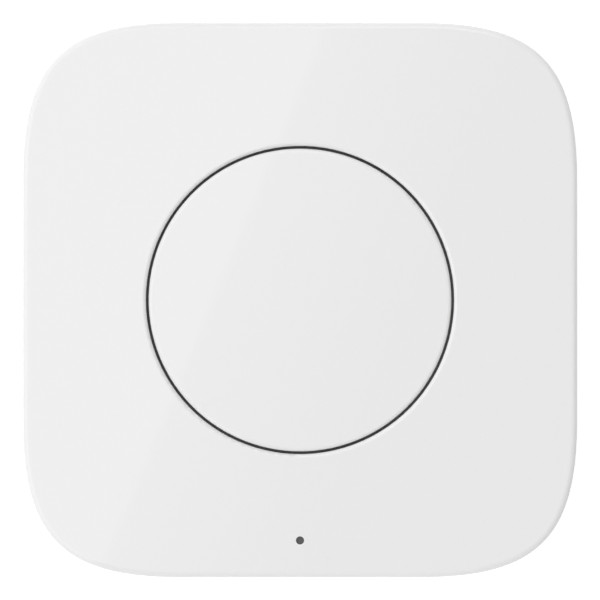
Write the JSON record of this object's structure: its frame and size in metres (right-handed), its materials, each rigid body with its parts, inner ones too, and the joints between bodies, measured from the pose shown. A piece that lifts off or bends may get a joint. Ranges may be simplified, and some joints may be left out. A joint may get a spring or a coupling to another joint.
{
  "type": "smart button",
  "caption": "Square wireless smart button with soft corners, a flush round push button, a pinhole indicator, a coin-cell door and a sticky pad on its back.",
  "frame": {"origin": "centre of the sticky pad's outer face, which lies on the wall or table", "axes": "+Z out of the button's face; -Y towards the indicator pinhole, which is at the bottom on a wall; +X to the right, seen from the front"},
  "size_m": [0.045, 0.045, 0.0126],
  "materials": {
    "gloss_white": "smooth gloss, moulded",
    "satin_white": "fine satin, moulded",
    "pad_foam": "closed-cell foam, sticky on both faces",
    "coated_spring": "black electro-coated spring sheet",
    "spring_steel": "stamped spring sheet",
    "screw_steel": "zinc-plated",
    "smoked_guide": "smoked clear, polished",
    "black_rubber": "matt",
    "cell_steel": "nickel-plated, turned grain",
    "gasket_plastic": "moulded",
    "cell_filling": "pressed powder",
    "contact_plating": "nickel-plated spring strip",
    "board_mask": "green solder mask",
    "gold_copper": "gold-plated copper",
    "tin": "tinned",
    "switch_black": "moulded",
    "switch_plunger": "moulded",
    "switch_cover": "stamped sheet",
    "chip_black": "moulded epoxy",
    "crystal_metal": "plated lid on a ceramic base",
    "tantalum_yellow": "moulded epoxy",
    "capacitor_tan": "fired ceramic",
    "resistor_black": "glazed",
    "led_body": "moulded",
    "led_clear": "clear"
  },
  "bodies": {
    "casing": {"front_shell": "gloss_white", "rear_shell": "satin_white", "adhesive_pad": "pad_foam", "button_flexure": "coated_spring", "tact_dome": "spring_steel", "flexure_screws": "screw_steel", "board_screws": "screw_steel", "light_pipe": "smoked_guide", "light_sleeve": "black_rubber", "cell_can": "cell_steel", "cell_cap": "cell_steel", "cell_gasket": "gasket_plastic", "cell_core": "cell_filling", "negative_contact": "contact_plating", "positive_contact": "contact_plating", "circuit_board": "board_mask", "antenna_trace": "gold_copper", "test_pads": "gold_copper", "tact_terminals": "tin", "memory_leads": "tin", "store_feet": "tin", "part_terminals": "tin", "tact_base": "switch_black", "tact_cover": "switch_cover", "radio_chip": "chip_black", "memory_chip": "chip_black", "main_crystal": "crystal_metal", "slow_crystal": "crystal_metal", "store_capacitor": "tantalum_yellow", "capacitors": "capacitor_tan", "resistors": "resistor_black", "indicator_led": "led_body", "led_lens": "led_clear"},
    "button": {"button_cap": "gloss_white"},
    "switch_plunger": {"tact_plunger": "switch_plunger"},
    "battery_door": {"battery_door": "satin_white"}
  },
  "joints": [
    {"name": "button_press", "type": "slide", "parent": "casing", "child": "button", "axis": [0, 0, -1], "range_m": [0, 0.0003], "stiffness_N_per_m": 4000, "deforming": ["button_flexure"]},
    {"name": "plunger_travel", "type": "slide", "parent": "casing", "child": "switch_plunger", "axis": [0, 0, -1], "range_m": [0, 0.0003], "deforming": ["tact_dome"]},
    {"name": "door_turn", "type": "hinge", "parent": "casing", "child": "battery_door", "pos_m": [0, 0, 0.0006], "axis": [0, 0, -1], "range_deg": [0, 34]}
  ],
  "couplings": [
    {"joint": "plunger_travel", "follows": "button_press", "ratio": 1}
  ]
}
